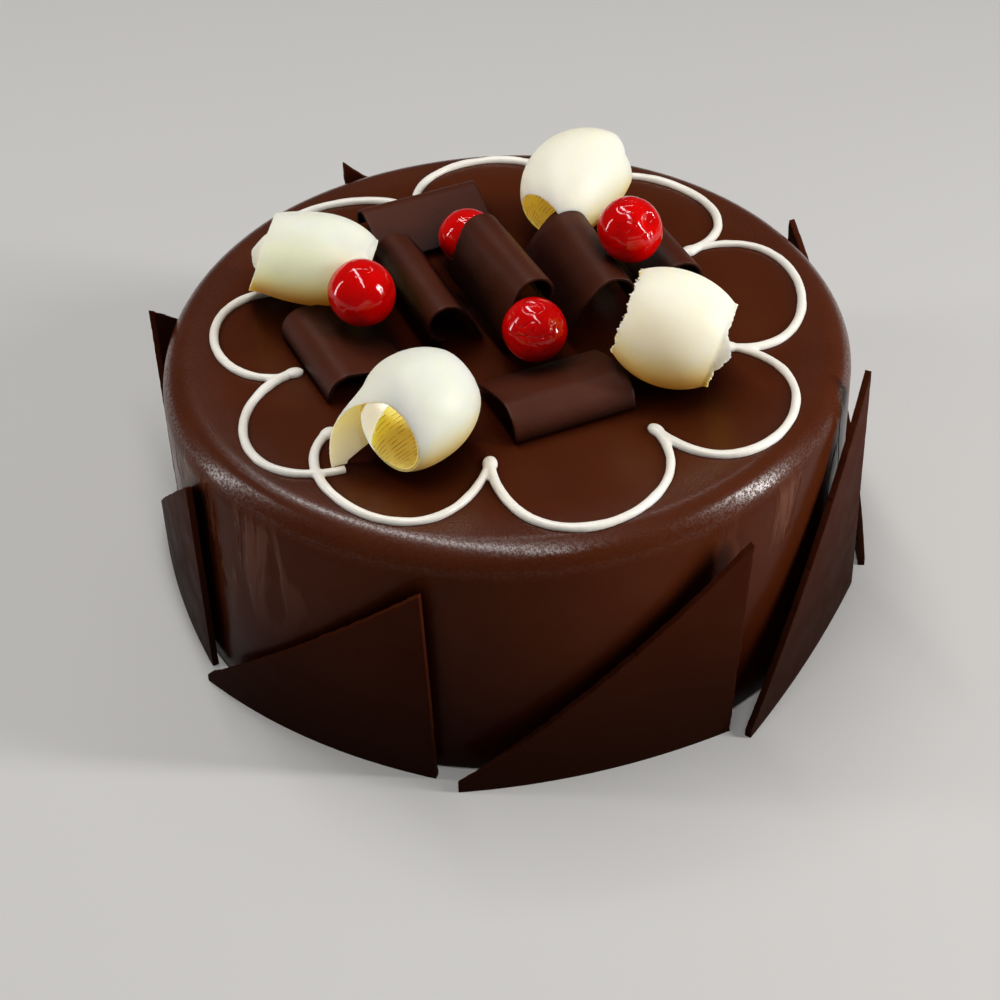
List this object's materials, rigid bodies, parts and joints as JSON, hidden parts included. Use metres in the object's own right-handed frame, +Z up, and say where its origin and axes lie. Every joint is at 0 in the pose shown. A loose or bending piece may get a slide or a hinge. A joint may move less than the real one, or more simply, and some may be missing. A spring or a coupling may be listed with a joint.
{
  "type": "chocolate cake",
  "caption": "Round chocolate gateau with glossy glaze, piped white petals, dark chocolate shards round its wall, and chocolate curls, white rolls and glazed cherries on top.",
  "frame": {"origin": "centre of the cake's foot, on the surface it stands on", "axes": "+Z up, -Y towards the front that the picture shows, +X to its right"},
  "size_m": [0.221, 0.2186, 0.1165],
  "materials": {
    "glaze": "glossy chocolate glaze",
    "dark_chocolate": "satin dark chocolate",
    "white_chocolate": "satin ivory white chocolate and icing",
    "cherry": "wet glossy red"
  },
  "bodies": {
    "root": {"cake": "glaze", "shard_1": "dark_chocolate", "shard_2": "dark_chocolate", "shard_3": "dark_chocolate", "shard_4": "dark_chocolate", "shard_5": "dark_chocolate", "shard_6": "dark_chocolate", "shard_7": "dark_chocolate", "shard_8": "dark_chocolate", "dark_curl_1": "dark_chocolate", "dark_curl_2": "dark_chocolate", "dark_curl_3": "dark_chocolate", "dark_curl_4": "dark_chocolate", "dark_curl_5": "dark_chocolate", "dark_curl_6": "dark_chocolate", "dark_curl_7": "dark_chocolate", "white_roll_1": "white_chocolate", "white_roll_2": "white_chocolate", "white_roll_3": "white_chocolate", "white_roll_4": "white_chocolate", "cherry_1": "cherry", "cherry_2": "cherry", "cherry_3": "cherry", "cherry_4": "cherry"}
  },
  "joints": []
}
